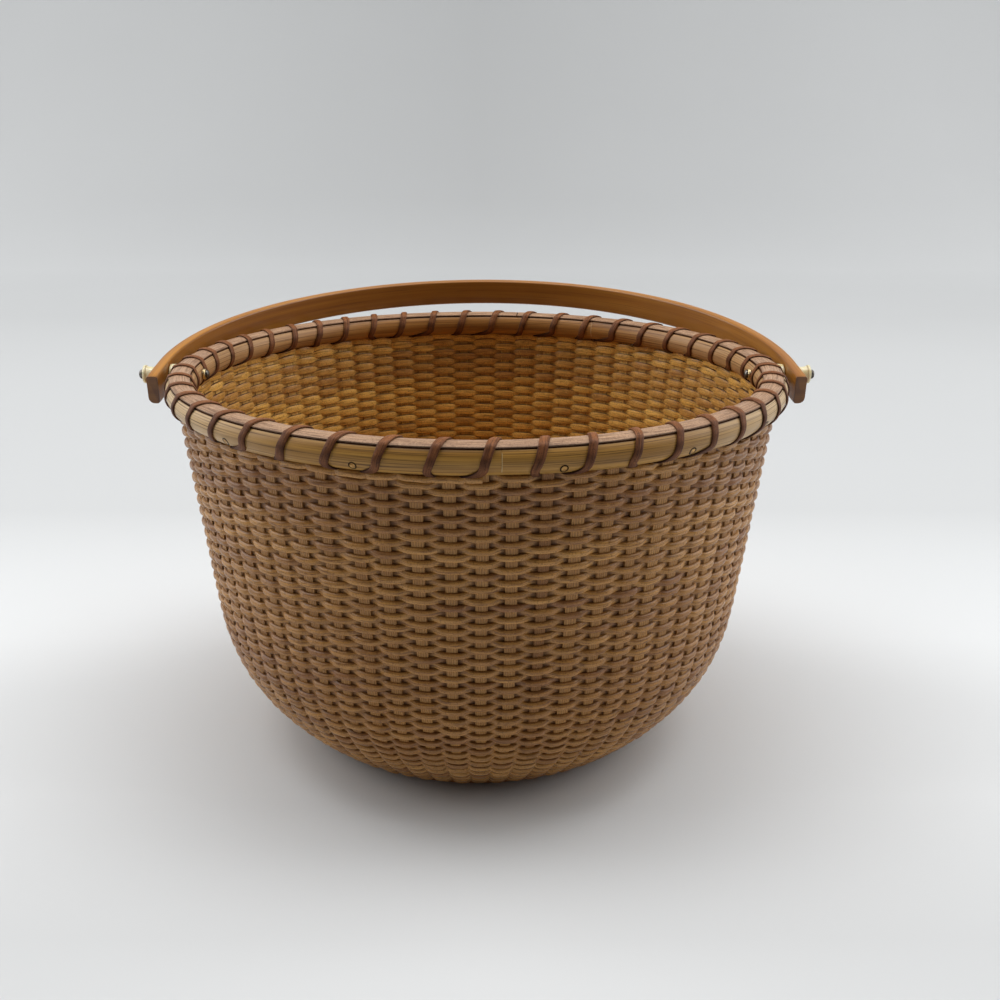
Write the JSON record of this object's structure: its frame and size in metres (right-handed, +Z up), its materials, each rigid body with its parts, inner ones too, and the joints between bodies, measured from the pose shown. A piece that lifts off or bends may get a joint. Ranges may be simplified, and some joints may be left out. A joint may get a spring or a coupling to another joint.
{
  "type": "lightship basket",
  "caption": "Round woven cane basket with a turned wooden base, lashed half-round rim hoops and a wooden swing handle that folds down over either side.",
  "frame": {"origin": "centre of the flat underside of the turned base, on the surface that the basket stands on", "axes": "+Z up along the basket's axis, X along the handle's pivot axis, +Y towards the side over which the handle is folded at rest"},
  "size_m": [0.278, 0.2583, 0.1688],
  "materials": {
    "woven_cane": "satin",
    "hoop_rattan": "satin",
    "lashing_cane": "satin",
    "handle_wood": "satin",
    "base_wood": "satin",
    "plug_wood": "satin",
    "bone": "satin",
    "pin_brass": "satin",
    "rivet_metal": "satin"
  },
  "bodies": {
    "basket": {"base_disc": "base_wood", "base_plug": "plug_wood", "woven_body": "woven_cane", "outer_hoop": "hoop_rattan", "inner_hoop": "hoop_rattan", "rim_cap": "lashing_cane", "rim_lashing": "lashing_cane", "rim_pin_01": "pin_brass", "rim_pin_02": "pin_brass", "rim_pin_03": "pin_brass", "rim_pin_04": "pin_brass", "rim_pin_05": "pin_brass", "rim_pin_06": "pin_brass", "rim_pin_07": "pin_brass", "rim_pin_08": "pin_brass", "rim_pin_09": "pin_brass", "rim_pin_10": "pin_brass", "rim_pin_11": "pin_brass", "rim_pin_12": "pin_brass", "rim_pin_13": "pin_brass", "rim_pin_14": "pin_brass", "pivot_rivet_left": "rivet_metal", "rivet_burr_left": "pin_brass", "bone_spacer_left": "bone", "bone_knob_left": "bone", "pivot_rivet_right": "rivet_metal", "rivet_burr_right": "pin_brass", "bone_spacer_right": "bone", "bone_knob_right": "bone"},
    "handle": {"handle": "handle_wood"}
  },
  "joints": [
    {"name": "handle_swing", "type": "hinge", "parent": "basket", "child": "handle", "pos_m": [0, 0, 0.14866], "axis": [1, 0, 0], "range_deg": [-30.4, 197.6]}
  ]
}
